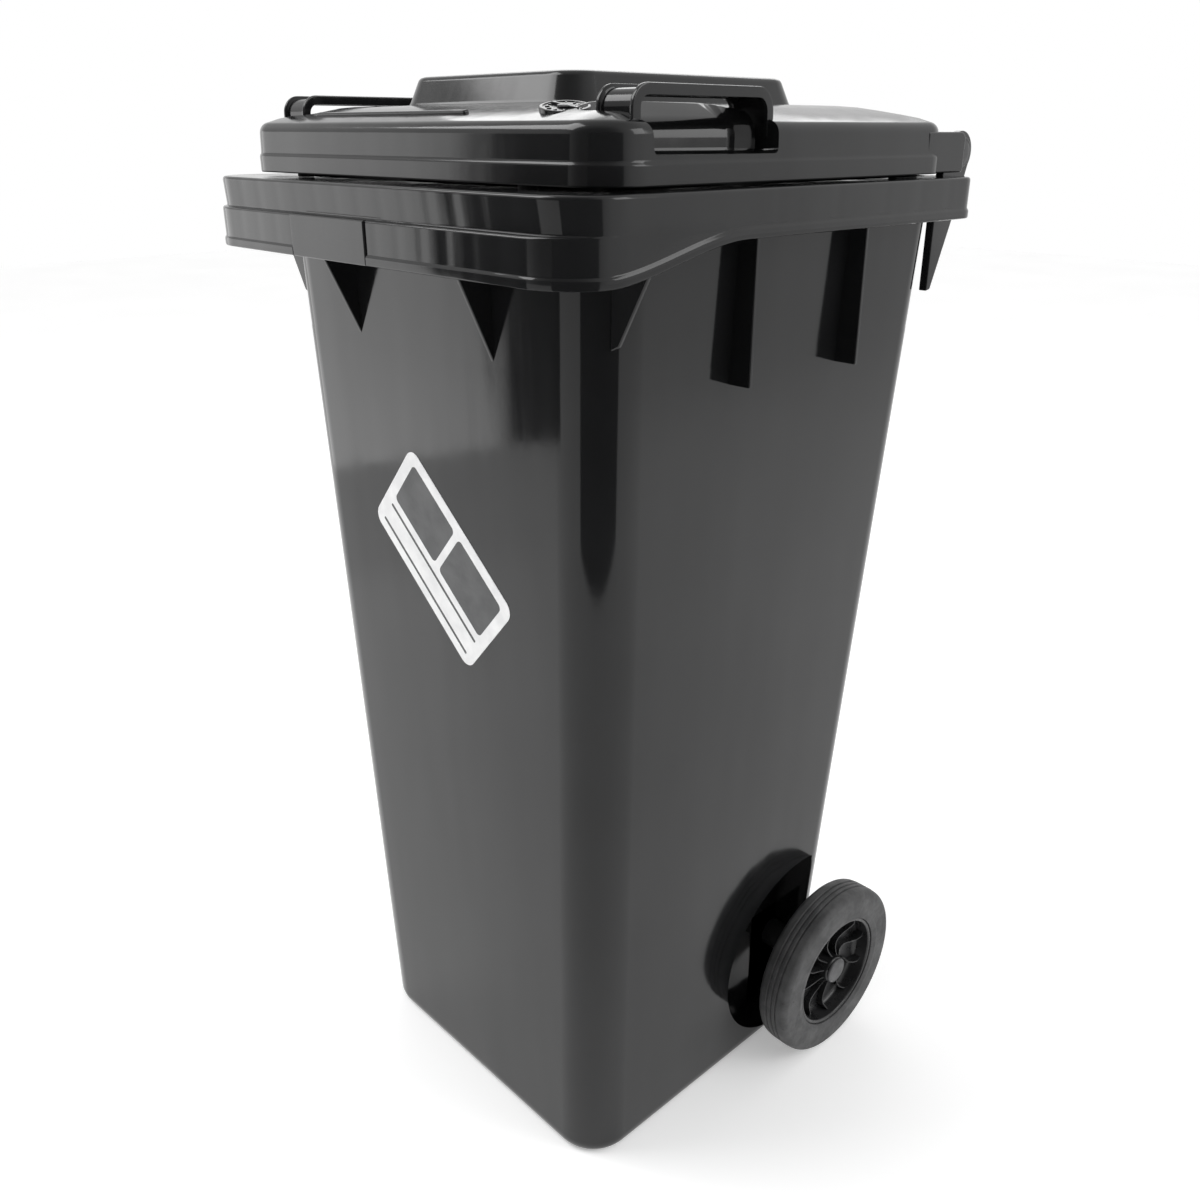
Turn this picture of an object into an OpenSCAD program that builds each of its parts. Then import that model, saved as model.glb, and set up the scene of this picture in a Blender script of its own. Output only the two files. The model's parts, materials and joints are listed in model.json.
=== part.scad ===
// Two-wheeled waste bin: tapered container with a two-tier comb rim, hinged lid with side
// handles and a raised middle, and two rubber-tyred wheels on a steel axle.
// Millimetres, +Z up, front (comb side) towards -Y, floor at Z = 0.

/* [Container] */
// Width over the rim
rim_w = 504; // [490:2:512]
// Height of the top face of the rim
rim_z = 941; // [900:1:980]
// Distance from the origin to the foremost face of the comb rim
rim_front = 264; // [258:1:270]
// Distance from the origin to the rear edge of the rim
rim_rear = 226; // [222:1:232]
// Width of the container at the floor
base_w = 372; // [350:1:390]
// Width of the container just under the rim
top_w = 436; // [420:1:450]
// Depth of the container in front of the origin, at the floor
base_front = 188; // [170:1:200]
// Depth of the container in front of the origin, under the rim
top_front = 208; // [200:1:216]
// Depth of the container behind the origin, at the floor level of the rear wall
base_rear = 167; // [160:1:180]
// Depth of the container behind the origin, under the rim
top_rear = 221; // [214:1:224]
// Wall thickness of the container
wall = 4; // [3:0.5:5]
// Radius of the upright corners at the front
corner_f = 46; // [35:1:55]
// Radius of the upright corners at the rear
corner_r = 34; // [24:1:40]
// Radius of the front corners of the rim
rim_corner = 50; // [44:1:60]

/* [Rim and ribs] */
// Depth of the rim below its top face, at the front
apron_h = 58; // [50:1:68]
// Depth of the rim below its top face, along the sides
side_apron_h = 34; // [30:1:38]
// Height of the upper comb tier
tier_h = 25; // [20:1:29]
// Set-back of the upper comb tier
tier_step = 6; // [4:0.5:8]
// Spacing of the comb ribs
comb_pitch = 30; // [26:1:34]
// Half spacing of the two front gussets
gusset_x = 94; // [70:1:110]
// Lower end of the side fins, below the top face of the rim
fin_drop = 148; // [118:1:178]
// Outer edge of the side fins, from the middle plane
fin_x = 234; // [228:1:240]

/* [Label] */
// Length of the front label
label_w = 180; // [120:5:200]
// Width of the front label
label_h = 106; // [60:2:120]
// Height of the middle of the front label
label_z = 622; // [500:2:700]

/* [Rear end] */
// Height of the underside of the raised rear floor
step_z = 138; // [132:1:160]
// Start of the raised rear floor, behind the origin
step_y = 104; // [95:1:110]
// Radius of the wheel arches
arch_r = 113; // [106:1:118]
// Depth of the wheel arches: half spacing of their inner walls
arch_x = 150; // [145:1:155]
// Rear edge of the wheel arches, behind the origin
arch_rear = 147; // [140:1:150]

/* [Lid] */
// Width of the lid
lid_w = 476; // [460:2:486]
// Front edge of the lid, ahead of the origin
lid_front = 223; // [215:1:230]
// Rear edge of the lid skirt, behind the origin
lid_rear = 196; // [190:1:198]
// Gap between the rim and the lower edge of the lid
lid_gap = 3; // [2:0.5:5]
// Height of the lid skirt
skirt_h = 38; // [32:1:44]
// Lid wall thickness
lid_wall = 3; // [2.5:0.5:4]
// Half width of the raised middle of the lid
plateau_x = 106; // [80:1:120]
// Height of the raised middle above the rim
plateau_h = 79; // [72:1:90]
// Width of each handle strap
strap_w = 36; // [28:1:40]

/* [Hinge] */
// Hinge axis behind the origin
hinge_y = 246; // [244:1:250]
// Hinge axis above the rim
hinge_h = 19; // [19:0.5:24]
// Radius of the hinge ears on the container
ear_r = 18; // [16:0.5:18.5]
// Diameter of the hinge pins
pin_d = 12; // [10:0.5:14]
// Diameter of the grip bar between the hinges
grip_d = 28; // [24:1:30]

/* [Wheels] */
// Tyre diameter
tyre_d = 200; // [196:1:206]
// Tyre width
tyre_w = 40; // [36:1:44]
// Thickness of the rubber, from the hub to the tread
tyre_t = 34; // [28:1:38]
// Outer face of each wheel, from the middle plane
wheel_x = 250; // [246:1:254]
// Axle position behind the origin
axle_y = 139; // [132:1:146]
// Axle diameter
axle_d = 20; // [18:0.5:22]
// Number of wheel spokes
spokes = 10; // [6:1:12]

/* [Hidden] */
// One sub-part name, or "all" for the whole object
$fn = 96;
charcoal = [0.21, 0.215, 0.22];
black = [0.06, 0.06, 0.065];
tyre_grey = [0.24, 0.24, 0.245];
steel = [0.62, 0.63, 0.64];
white = [0.93, 0.93, 0.93];
fit = 0.08;                              // running clearance on pins and axle
gap = 0.3;                               // gap between parts that slide past each other
bead = 1.5;                              // outward bead along the lower rim edge
rib_t = 3.5;                             // thickness of ribs and gussets
apron_t = 4;                             // thickness of the rim
apron_z = rim_z - apron_h;               // lower edge of the rim, at the front
side_apron_z = rim_z - side_apron_h;     // and along the sides
ledge_z = rim_z - tier_h;                // ledge between the two comb tiers
fin_z = rim_z - fin_drop;
upper_tier = rim_front - bead - apron_t - tier_step + 1;  // where ribs meet the upper tier
axle_z = tyre_d / 2;
hinge_z = rim_z + hinge_h;
ear_in = [158, 166];                     // inner hinge ears, from the middle plane
ear_out = [208, 216];                    // outer hinge ears
knuckle = [ear_in[1] + gap, ear_out[0] - gap];
knuckle_r = ear_r - 1;
skirt_z = rim_z + lid_gap;
lid_z = skirt_z + skirt_h;               // top of the upright part of the skirt
recess_z = skirt_z + 19;                 // floor of the handle recess
corner_lid = 38;
buffer_x = lid_w / 2 - 88;               // lid buffers, from the middle plane
hub_r = tyre_d / 2 - tyre_t;             // seat of the tyre on the hub
boss_x = wheel_x - 44;                   // inner end of the wheel boss
spacer_d = axle_d + 12;
pin_x = wheel_x - 18;                    // lock pin plane
panel = [-93, 17];                       // chip cover, from left to right

// Rounded rectangle: half width x, from y0 to y1, front radius rf, rear radius rr
module plan(x, y0, y1, rf, rr) {
  translate([-x, y0 + rf]) square([2 * x, y1 - y0 - rf - rr]);
  translate([-(x - rf), y0]) square([2 * (x - rf), rf + 1]);
  translate([-(x - rr), y1 - rr - 1]) square([2 * (x - rr), rr + 1]);
  for (s = [-1, 1]) {
    translate([s * (x - rf), y0 + rf]) circle(rf);
    translate([s * (x - rr), y1 - rr]) circle(rr);
  }
}

// Slab of the container outline at height z, drawn in by "inset"
module body_slab(z, inset, h = 0.5) {
  t = z / rim_z;
  translate([0, 0, z]) linear_extrude(h)
    plan((base_w + (top_w - base_w) * t) / 2 - inset,
         -(base_front + (top_front - base_front) * t) + inset,
         base_rear + (top_rear - base_rear) * t - inset,
         corner_f - min(inset, 20), corner_r - min(inset, 20), $fn = 48);
}

// Wheel arches with their room for the spacers, and the raised rear floor between the
// arches, grown by "g"
module rear_cuts(g) {
  channel_x = arch_x - wall + g;
  translate([-channel_x, step_y - g, -10]) cube([2 * channel_x, 200, step_z + 10 + g]);
  for (s = [-1, 1]) {
    intersection() {
      translate([s * (arch_x - g), axle_y - 12, axle_z + 17]) rotate([0, s * 90, 0])
        cylinder(r = arch_r + g, h = 100);
      translate([-300, -100, -50]) cube([600, 100 + arch_rear + g, 400]);
    }
    translate([s * (arch_x - g), axle_y, axle_z]) rotate([0, s * 90, 0])
      cylinder(d = spacer_d + 6 + 2 * g, h = 100);
  }
}

module body_outer() {
  difference() {
    hull() {
      body_slab(0, 9);
      body_slab(4, 2.5);
      body_slab(11, 0);
      body_slab(rim_z - 2, 0);
    }
    rear_cuts(0);
  }
}

module body_cavity() {
  difference() {
    hull() {
      body_slab(wall + 1, 11);
      body_slab(wall + 10, wall);
      body_slab(rim_z + 4, wall);
    }
    rear_cuts(wall);
  }
}

// Height of the lower rim edge at depth y: low at the front, rising to the sides
function apron_low(y) =
  let (t = min(1, max(0, (y + rim_front - 24) / 149)))
  apron_z + (side_apron_z - apron_z) * t * t * (3 - 2 * t);

function apron_curve(dz) = [for (i = [0:16]) let (y = -rim_front + 24 + i * 149 / 16)
                            [y, apron_low(y) + dz]];

// Sideways prism over everything between the lower rim edge (+ low) and a ceiling
module above_edge(low, ceiling) {
  translate([-300, 0, 0]) rotate([90, 0, 90]) linear_extrude(600)
    polygon(concat([[-300, ceiling], [-300, apron_z + low]], apron_curve(low),
                   [[300, side_apron_z + low], [300, ceiling]]));
}

// Band of the lower rim edge, for the bead
module edge_band(h) {
  translate([-300, 0, 0]) rotate([90, 0, 90]) linear_extrude(600)
    polygon(concat([[-300, apron_z + h], [-300, apron_z]], apron_curve(0),
                   [[300, side_apron_z], [300, side_apron_z + h]],
                   [for (i = [16:-1:0]) apron_curve(h)[i]]));
}

// Rim outline drawn in by "inset"; "back" sets only the front face back
module rim_plan(inset, back) {
  plan(rim_w / 2 - inset, -rim_front + inset + back, rim_rear - inset,
       rim_corner - inset - back, 25 - inset);
}

// Upright ring of the rim, "t" thick
module rim_ring(z0, z1, inset, back, t) {
  translate([0, 0, z0]) linear_extrude(z1 - z0) difference() {
    rim_plan(inset, back);
    rim_plan(inset + t, back);
  }
}

module rim() {
  intersection() {
    union() {
      rim_ring(apron_z, ledge_z, bead, 0, apron_t);
      rim_ring(ledge_z - 4, rim_z, bead, tier_step, apron_t);
      translate([0, 0, ledge_z - 4]) linear_extrude(4) difference() {
        rim_plan(bead, 0);
        rim_plan(bead + apron_t - 1, tier_step);
      }
    }
    above_edge(0, rim_z + 1);
  }
  intersection() {
    rim_ring(apron_z, ledge_z, 0, 0, bead + apron_t);
    edge_band(7);
  }
  translate([0, 0, rim_z - apron_t]) linear_extrude(apron_t) difference() {
    rim_plan(bead, tier_step);
    plan(top_w / 2 - wall - 3, -top_front + wall + 3, top_rear - wall - 3,
         corner_f - wall - 3, corner_r - wall - 3);
  }
}

// Comb ribs behind the front tiers, and short ribs under the side rim
module rim_ribs() {
  for (i = [-7:7])
    translate([i * comb_pitch - rib_t / 2, -upper_tier, ledge_z - 22])
      cube([rib_t, upper_tier - top_front + 6, rim_z - ledge_z + 20]);
  for (s = [-1, 1], y = [14, 130, 174])
    translate([s * (top_w / 2 + rim_w / 2 - 4) / 2 - 15, y - rib_t / 2, side_apron_z + 3])
      cube([30, rib_t, rim_z - side_apron_z - 5]);
}

// Gussets under the front rim and fins down the sides
module gussets() {
  for (s = [-1, 1]) {
    translate([s * gusset_x - rib_t / 2, 0, 0]) rotate([90, 0, 90]) linear_extrude(rib_t)
      polygon([[-top_front + 12, apron_z - 71], [-top_front + 2.5, apron_z - 69],
               [-top_front - 30, apron_z], [-upper_tier, ledge_z - 4],
               [-upper_tier, rim_z - 2], [-top_front + 12, rim_z - 2]]);
    for (y = [-60, 82])
      translate([s * (top_w / 2 - 14 + fin_x) / 2 - (fin_x - top_w / 2 + 14) / 2,
                 y - rib_t / 2, fin_z])
        cube([fin_x - top_w / 2 + 14, rib_t, rim_z - 2 - fin_z]);
    translate([0, -186 - rib_t / 2, 0]) mirror([0, 1, 0]) rotate([90, 0, 0])
      linear_extrude(rib_t)
        polygon([[s * (top_w / 2 - 14), rim_z - 107], [s * (top_w / 2 - 2), rim_z - 103],
                 [s * (rim_w / 2 - 3), apron_low(-186) + 3], [s * (rim_w / 2 - 3), rim_z - 29],
                 [s * (top_w / 2 - 14), rim_z - 2]]);
  }
}

// Hinge ears with their gussets, and the grip bar between the inner ears
module hinge_ears() {
  for (s = [-1, 1], e = [ear_in, ear_out])
    translate([s * (e[0] + e[1]) / 2 - (e[1] - e[0]) / 2, 0, 0]) {
      translate([0, hinge_y, hinge_z]) rotate([0, 90, 0])
        cylinder(r = ear_r, h = e[1] - e[0]);
      rotate([90, 0, 90]) linear_extrude(e[1] - e[0])
        polygon([[top_rear - 8, rim_z - 100], [top_rear - 1, rim_z - 99],
                 [hinge_y, side_apron_z], [hinge_y + ear_r, hinge_z],
                 [hinge_y - ear_r, hinge_z], [rim_rear - 8, rim_z - 1],
                 [top_rear - 8, rim_z - 1]]);
    }
  translate([-ear_in[0] - 1, hinge_y, hinge_z]) rotate([0, 90, 0])
    cylinder(d = grip_d, h = 2 * ear_in[0] + 2);
}

// Pin bores through the ears into the ends of the grip bar
module hinge_bores() {
  for (s = [-1, 1])
    translate([s * (ear_in[0] - 14), hinge_y, hinge_z]) rotate([0, s * 90, 0])
      cylinder(d = pin_d + 2 * fit, h = 90);
}

// Bearing ribs for the axle below the raised rear floor: two plates that thicken the inner
// walls of the wheel arches, and two narrower ones between them
module axle_saddles() {
  for (s = [-1, 1]) {
    translate([s * (arch_x - 4) - 4, 0, 0]) rotate([90, 0, 90]) linear_extrude(8)
      polygon([[step_y - 3, 12], [step_y + 16, 12], [axle_y + 30, axle_z - 32],
               [axle_y + 30, step_z + 2], [step_y - 3, step_z + 2]]);
    translate([s * 50 - 4, axle_y, axle_z]) rotate([0, 90, 0]) cylinder(d = axle_d + 26, h = 8);
    translate([s * 50 - 4, axle_y - axle_d / 2 - 13, axle_z])
      cube([8, axle_d + 26, step_z - axle_z + 2]);
  }
}

module container() {
  color(charcoal) difference() {
    union() {
      body_outer();
      rim();
      rim_ribs();
      gussets();
      hinge_ears();
      axle_saddles();
    }
    body_cavity();
    hinge_bores();
    translate([-200, axle_y, axle_z]) rotate([0, 90, 0])
      cylinder(d = axle_d + 2 * fit, h = 400);
    chip_pocket();
  }
}

// Pocket in the lower comb tier for the chip cover, open at its top and bottom
module chip_pocket() {
  translate([panel[0] - gap, -rim_front - 1, apron_z - 1])
    cube([panel[1] - panel[0] + 2 * gap, 3 + bead + 1, ledge_z - apron_z + 2]);
}

module chip_cover() {
  color(charcoal) {
    translate([panel[0], -rim_front, apron_z])
      cube([panel[1] - panel[0], 3 + bead - gap, ledge_z - apron_z]);
  }
}

// Lid outline slab at height z, drawn in by "inset"
module lid_slab(z, inset, h = 0.5) {
  translate([0, 0, z]) linear_extrude(h)
    plan(lid_w / 2 - inset, -lid_front + inset, lid_rear - inset,
         max(12, corner_lid - inset), max(8, 34 - inset), $fn = 48);
}

module lid_block(g) {
  hull() {
    lid_slab(g > 0 ? skirt_z - 2 : skirt_z, bead + g);
    lid_slab(lid_z - 8, bead + 1 + g);
    lid_slab(lid_z - 1 - g * 0.3, bead + 4 + g);
    lid_slab(lid_z + 4 - g * 0.7, bead + 12 + g);
    lid_slab(lid_z + 14 - g, 62 + g);
    lid_slab(lid_z + 15 - g, 90 + g);
  }
}

// Raised middle of the lid
module plateau(g) {
  hull() {
    translate([0, 0, lid_z + 6]) linear_extrude(1)
      plan(plateau_x + 9 - g, -137 + g, 144 - g, 30, 30, $fn = 32);
    translate([0, 0, rim_z + plateau_h - 4 - g]) linear_extrude(1)
      plan(plateau_x - g, -130 + g, 134 - g, 22, 22, $fn = 32);
    translate([0, 0, rim_z + plateau_h - 1 - g]) linear_extrude(1)
      plan(plateau_x - 4 - g, -126 + g, 130 - g, 18, 18, $fn = 32);
  }
}

// Hand recess under one handle, grown by "g"
module recess(s, g) {
  x = lid_w / 2;
  translate([0, 0, recess_z - g]) linear_extrude(60)
    polygon([[s * (x - 50 - g), -176 - g], [s * (x + 20), -176 - g], [s * (x + 20), -46 + g],
             [s * (x - 24), -46 + g], [s * (x - 50 - g), -66 + g]]);
}

// Handle strap bridging the recess
module handle(s) {
  top = lid_z + 25;
  translate([s * (lid_w / 2 - 30) - strap_w / 2, 0, 0]) rotate([90, 0, 90])
    linear_extrude(strap_w)
      polygon([[-186, lid_z], [-185, top - 9], [-180, top - 3], [-171, top], [-60, top],
               [-50, top - 3], [-43, top - 12], [-39, lid_z - 6], [-47, lid_z - 6],
               [-50, top - 15], [-55, top - 9], [-63, top - 7.5], [-168, top - 7.5],
               [-174, top - 11], [-177, top - 17], [-178, lid_z]]);
}

// Arms and knuckles that carry the lid on the hinge pins
module lid_arms() {
  w = knuckle[1] - knuckle[0];
  for (s = [-1, 1])
    translate([s * (knuckle[0] + knuckle[1]) / 2 - w / 2, 0, 0]) {
      translate([0, hinge_y, hinge_z]) rotate([0, 90, 0]) cylinder(r = knuckle_r, h = w);
      translate([0, lid_rear - 4, hinge_z - 12]) cube([w, hinge_y - lid_rear + 4, 26]);
    }
}

// Rear side lugs: the skirt carried on past the rear edge at each side
module lid_lugs() {
  for (s = [-1, 1])
    translate([s * (lid_w / 2 - bead - 5) - 5, 0, 0]) rotate([90, 0, 90]) linear_extrude(10)
      polygon([[lid_rear - 40, skirt_z], [216, skirt_z], [216, lid_z - 13],
               [213, lid_z - 8], [208, lid_z - 5], [lid_rear - 40, lid_z - 5]]);
}

module lid() {
  color(charcoal) difference() {
    union() {
      difference() {
        union() {
          lid_block(0);
          plateau(0);
          translate([0, 0, skirt_z]) linear_extrude(14)
            plan(lid_w / 2, -lid_front, lid_rear, corner_lid, 34);
        }
        for (s = [-1, 1]) recess(s, 0);
        difference() {
          union() {
            lid_block(lid_wall);
            plateau(lid_wall);
          }
          for (s = [-1, 1]) {
            recess(s, lid_wall);
            translate([s * buffer_x, 11 - lid_front, rim_z]) cylinder(d = 16, h = 60);
          }
        }
        for (s = [-1, 1])
          translate([s * buffer_x, 11 - lid_front, rim_z - 1])
            cylinder(d = 17, h = 1 + lid_gap + 7);
      }
      for (s = [-1, 1]) handle(s);
      lid_arms();
      lid_lugs();
      translate([-150, 27 - lid_front, lid_z + 7]) rotate([12, 0, 0]) cube([210, 5, 3]);
    }
    for (s = [-1, 1]) {
      translate([s * 140, hinge_y, hinge_z]) rotate([0, s * 90, 0])
        cylinder(d = pin_d + 2 * fit, h = 70);
      translate([s * buffer_x, 11 - lid_front, rim_z]) cylinder(d = 6, h = lid_gap + 18);
    }
    dial_frame() cylinder(d = 36 + 2 * gap, h = 20);
  }
}

// Frame of the date dial on the sloping front corner of the lid
module dial_frame() {
  translate([lid_w / 2 - 82, 41 - lid_front, lid_z + 8]) rotate([9, 9, 0]) children();
}

module date_dial() {
  color(charcoal) dial_frame() difference() {
    union() {
      cylinder(d = 36, h = 4);
      translate([-14, -1.25, 3]) cube([28, 2.5, 2]);
    }
    translate([0, 0, 3.2]) difference() {
      cylinder(d = 31, h = 4);
      translate([-14, -1.25, -1]) cube([28, 2.5, 6]);
    }
  }
}

// Rubber buffer plugged into the lid boss, just clear of the rim
module lid_buffer(s) {
  color(black) translate([s * buffer_x, 11 - lid_front, rim_z + 0.2]) {
    cylinder(d = 14, h = lid_gap + 6.8);
    cylinder(d = 6, h = lid_gap + 16);
  }
}

module hinge_pin(s) {
  color(black) translate([s * (ear_in[0] - 12), hinge_y, hinge_z]) rotate([0, s * 90, 0]) {
    cylinder(d = pin_d, h = ear_out[1] + gap - ear_in[0] + 12);
    translate([0, 0, ear_out[1] + gap - ear_in[0] + 12]) cylinder(d1 = 26, d2 = 22, h = 3.5);
  }
}

module axle() {
  l = 2 * (wheel_x - 8);
  color(steel) translate([-l / 2, axle_y, axle_z]) rotate([0, 90, 0]) difference() {
    union() {
      translate([0, 0, 2]) cylinder(d = axle_d, h = l - 4);
      cylinder(d1 = axle_d - 4, d2 = axle_d, h = 2);
      translate([0, 0, l - 2]) cylinder(d1 = axle_d, d2 = axle_d - 4, h = 2);
    }
    for (z = [l / 2 - pin_x, l / 2 + pin_x])
      translate([0, 0, z - 3]) difference() {
        cylinder(d = axle_d + 2, h = 6);
        cylinder(d = axle_d - 4, h = 6);
      }
  }
}

// Places a wheel part built along +Z with its outer face at Z = 0
module on_wheel(s) {
  translate([s * wheel_x, axle_y, axle_z]) rotate([0, s * 90, 0]) children();
}

module spacer(s) {
  color(black) translate([s * arch_x, axle_y, axle_z]) rotate([0, s * 90, 0])
    difference() {
      cylinder(d = spacer_d, h = boss_x - arch_x - gap);
      translate([0, 0, -1]) cylinder(d = axle_d + 2 * fit, h = 100);
    }
}

module hub(s) {
  r = hub_r;
  color(black) on_wheel(s) difference() {
    union() {
      rotate_extrude() polygon([[r - 5, -tyre_w + 4], [r - 1, -tyre_w + 3], [r, -tyre_w + 6],
                                [r, -5], [r - 1, -3], [r - 4, -3], [r - 6, -18],
                                [16, -26], [16, -31], [r - 5, -23]]);
      translate([0, 0, -(wheel_x - boss_x)])
        cylinder(d = axle_d + 16, h = wheel_x - boss_x - 6);
      for (i = [0:spokes - 1]) rotate(i * 360 / spokes)
        translate([12, -1.5, -26.5]) cube([r - 14.5, 3, 14]);
    }
    translate([0, 0, -60]) cylinder(d = axle_d + 2 * fit, h = 60 - 6.5);
    translate([0, 0, -7.5]) cylinder(d = 25, h = 10);
    translate([0, 0, -(wheel_x - pin_x)]) rotate([-90, 0, 0])
      cylinder(d = 5 + 2 * fit, h = axle_d / 2 + 6.5);
  }
}

module hub_cap(s) {
  color(black) on_wheel(s) {
    translate([0, 0, -6]) cylinder(d1 = 30, d2 = 26, h = 3.5);
    translate([0, 0, -7.3]) cylinder(d = 24.4, h = 2);
  }
}

module lock_pin(s) {
  color(steel) on_wheel(s) translate([0, axle_d / 2 - 2 + gap, -(wheel_x - pin_x)])
    rotate([-90, 0, 0]) cylinder(d = 5, h = 4.5);
}

module lock_spring(s) {
  color(steel) on_wheel(s) translate([0, axle_d / 2 + 2.9, -(wheel_x - pin_x)])
    rotate([-90, 0, 0]) for (i = [0:3]) translate([0, 0, 0.45 + i * 0.82])
      rotate_extrude() translate([1.7, 0]) circle(d = 0.9);
}

module tyre(s) {
  r = tyre_d / 2;
  w = tyre_w;
  color(tyre_grey) on_wheel(s) rotate_extrude()
    polygon([[hub_r + 0.02, -w + 2], [hub_r + 6, -w + 0.5], [r - 14, -w], [r - 6, -w + 2],
             [r - 1, -w + 7], [r, -w + 11], [r, -w + 13], [r - 2, -w + 13.6],
             [r - 2, -w + 15], [r, -w + 15.6], [r, -w + 19], [r - 2, -w + 19.6],
             [r - 2, -w + 21], [r, -w + 21.6], [r, -w + 25], [r - 2, -w + 25.6],
             [r - 2, -w + 27], [r, -w + 27.6], [r, -w + 29], [r - 1, -7], [r - 6, -2],
             [r - 14, 0], [hub_r + 6, -0.5], [hub_r + 0.02, -2]]);
}

// Flat label on the sloping front wall
module front_label() {
  lean = atan((top_front - base_front) / rim_z);
  color(white)
    translate([2, -base_front - (top_front - base_front) * label_z / rim_z, label_z])
      rotate([90 + lean, 0, 0]) rotate(-42) linear_extrude(0.5) {
        square([label_w - 24, label_h], center = true);
        square([label_w, label_h - 24], center = true);
        for (x = [-1, 1], y = [-1, 1])
          translate([x * (label_w / 2 - 12), y * (label_h / 2 - 12)]) circle(12);
      }
}

container();
lid();
hinge_pin(-1);  // hinge_pin_l
hinge_pin(1);  // hinge_pin_r
axle();
spacer(-1);  // spacer_l
spacer(1);  // spacer_r
hub(-1);  // hub_l
hub(1);  // hub_r
tyre(-1);  // tyre_l
tyre(1);  // tyre_r
hub_cap(-1);  // hub_cap_l
hub_cap(1);  // hub_cap_r
lock_pin(-1);  // lock_pin_l
lock_pin(1);  // lock_pin_r
lock_spring(-1);  // lock_spring_l
lock_spring(1);  // lock_spring_r
chip_cover();
front_label();
date_dial();
lid_buffer(-1);  // lid_buffer_l
lid_buffer(1);  // lid_buffer_r
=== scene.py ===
import json
import math

import bpy
from mathutils import Matrix, Vector


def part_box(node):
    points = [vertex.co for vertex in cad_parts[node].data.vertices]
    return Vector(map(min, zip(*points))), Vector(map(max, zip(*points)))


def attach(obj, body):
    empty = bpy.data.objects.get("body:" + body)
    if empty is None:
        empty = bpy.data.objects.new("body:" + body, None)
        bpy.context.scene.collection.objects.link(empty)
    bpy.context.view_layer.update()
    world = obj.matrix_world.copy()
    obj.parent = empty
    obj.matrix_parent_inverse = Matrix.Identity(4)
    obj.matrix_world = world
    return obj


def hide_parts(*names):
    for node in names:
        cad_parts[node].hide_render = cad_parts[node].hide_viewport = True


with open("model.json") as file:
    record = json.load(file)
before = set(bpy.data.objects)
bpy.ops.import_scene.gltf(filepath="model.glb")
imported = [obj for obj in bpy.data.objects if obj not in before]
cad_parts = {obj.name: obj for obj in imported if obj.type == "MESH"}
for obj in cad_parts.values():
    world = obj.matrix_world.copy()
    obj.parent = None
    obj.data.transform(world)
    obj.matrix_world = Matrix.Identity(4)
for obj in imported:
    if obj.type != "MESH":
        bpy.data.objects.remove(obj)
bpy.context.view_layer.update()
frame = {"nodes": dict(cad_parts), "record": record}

# Shapes are worked out in millimetres, in the row frame: front towards -Y, floor at Z = 0.
MM = 0.001


def box_mm(node):
    """Lowest and highest corners of a CAD node, in millimetres."""
    lo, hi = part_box(node)
    return lo / MM, hi / MM


def middle(node):
    lo, hi = box_mm(node)
    return (lo + hi) / 2


# ---------------------------------------------------------------- sizes read from the frame
RIM_X = box_mm("container")[1].x
RIM_FRONT = -box_mm("container")[0].y
HINGE = middle("hinge_pin_r")
AXLE = middle("axle")
HINGE_RISE = 19  # hinge axis above the rim
RIM_Z = HINGE.z - HINGE_RISE
APRON_Z = box_mm("chip_cover")[0].z
LEDGE_Z = box_mm("chip_cover")[1].z
TYRE_R = (box_mm("tyre_r")[1].z - box_mm("tyre_r")[0].z) / 2
TYRE_W = box_mm("tyre_r")[1].x - box_mm("tyre_r")[0].x
WHEEL_X = box_mm("tyre_r")[1].x
PLATEAU_Z = box_mm("lid")[1].z

NAME = {-1: "l", 1: "r"}  # side of the object, as the sign of X, to the letter in its names
GAP = 0.3  # clearance between pieces
CORE_R = 0.5  # radius at which turned profiles stop short of their axis

# ---------------------------------------------------------------- sizes of the container
BASE_X, TOP_X = 186, 218
BASE_FRONT, TOP_FRONT = 188, 208
BASE_REAR, TOP_REAR = 167, 221
CORNER_FRONT, CORNER_REAR = 46, 34
WALL = 4
RIM_REAR = 226
RIM_CORNER, RIM_CORNER_REAR = 50, 25
SIDE_APRON_Z = 907
EDGE_RISE_START, EDGE_RISE_LENGTH = 24, 149  # where the lower rim edge climbs, behind the front
COMB_FACE = 20  # depth behind the front edge that counts as the comb's face
RIM_T = 4
BEAD = 1.5
TIER_STEP = 6
COMB_PITCH = 30
RIB_T = 3.5
GUSSET_X = 94
CORNER_GUSSET_Y = -186
CORNER_GUSSET_FOOT, CORNER_GUSSET_KNEE, CORNER_GUSSET_TIP = 834, 838, 912
FINS_Y = (-60, 82)
FIN_X, FIN_Z = 234, 793
MOULD_LINE_Z, MOULD_LINE = 810, 0.2
SIDE_RIBS_Y = (14, 130, 174)
SIDE_MARKS_Y = (-59, 14, 78, 130, 174)
COMB_SINK, SIDE_SINK, SINK_W = 0.13, 0.12, 4.5
ARCH_Y, ARCH_Z, ARCH_R, ARCH_X = AXLE.y - 12, AXLE.z + 17, 113, 150
ARCH_REAR = 147
SPACER_R = 16
STEP_Y, STEP_Z = 104, 138
EAR_INNER, EAR_OUTER = (158, 166), (208, 216)
EAR_R = 18
GRIP_R = 14

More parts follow.
